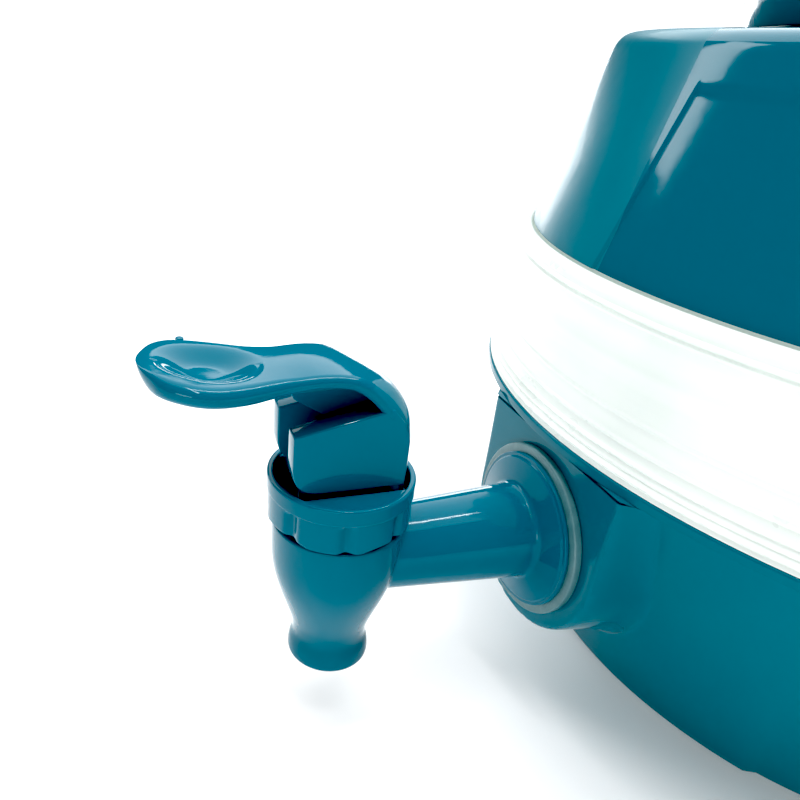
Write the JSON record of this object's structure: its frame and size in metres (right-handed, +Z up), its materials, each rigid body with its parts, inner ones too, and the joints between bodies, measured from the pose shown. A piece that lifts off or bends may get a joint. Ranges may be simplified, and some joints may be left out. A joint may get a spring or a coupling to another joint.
{
  "type": "countertop water dispenser",
  "caption": "Collapsible countertop water dispenser: tapered tub, folding clear wall, lift-up top with lid and carry handle, and a lever tap at the front.",
  "frame": {"origin": "centre of the dispenser's footprint on the counter", "axes": "+Z up, -Y towards the tap, +X to the right seen from the tap's side"},
  "size_m": [0.2166, 0.3041, 0.173],
  "materials": {
    "teal_shell": "high gloss",
    "teal_tap": "high gloss",
    "clear_bellows": "milky satin",
    "grey_rubber": "translucent satin",
    "dark_rubber": "matte",
    "white_plastic": "satin",
    "spring_steel": "drawn wire"
  },
  "bodies": {
    "base": {"base_tub": "teal_shell", "foot_pad_1": "dark_rubber", "foot_pad_2": "dark_rubber", "foot_pad_3": "dark_rubber", "foot_pad_4": "dark_rubber", "foot_pad_5": "dark_rubber", "bellows": "clear_bellows", "lower_clamp_ring": "white_plastic", "tap_body": "teal_tap", "outer_gasket": "grey_rubber", "inner_gasket": "grey_rubber", "lock_nut": "teal_tap", "bonnet": "teal_tap", "return_spring": "spring_steel"},
    "top_shell": {"shoulder_shell": "teal_shell", "upper_clamp_ring": "white_plastic", "handle_pivot_right": "teal_tap", "handle_pivot_left": "teal_tap"},
    "handle": {"carry_handle": "teal_shell"},
    "lid": {"lid": "teal_shell", "lid_seal": "grey_rubber"},
    "valve": {"valve_stem": "teal_tap", "seat_cup": "grey_rubber"},
    "lever": {"lever": "teal_tap"}
  },
  "joints": [
    {"name": "top_lift", "type": "slide", "parent": "base", "child": "top_shell", "axis": [0, 0, 1], "range_m": [0, 0.054], "deforming": ["bellows"]},
    {"name": "handle_swing", "type": "hinge", "parent": "top_shell", "child": "handle", "pos_m": [0, 0, 0.131], "axis": [1, 0, 0], "range_deg": [0, 180]},
    {"name": "lid_lift", "type": "slide", "parent": "top_shell", "child": "lid", "axis": [0, 0, 1], "range_m": [0, 0.06]},
    {"name": "stem_lift", "type": "slide", "parent": "base", "child": "valve", "axis": [0, 0, 1], "range_m": [0, 0.0027], "stiffness_N_per_m": 1500, "springref_m": -0.003, "deforming": ["return_spring"]},
    {"name": "lever_press", "type": "hinge", "parent": "valve", "child": "lever", "pos_m": [0, -0.1559, 0.074], "axis": [1, 0, 0], "range_deg": [0, 22]}
  ],
  "couplings": [
    {"joint": "lever_press", "follows": "stem_lift", "rad_per_m": 140}
  ]
}
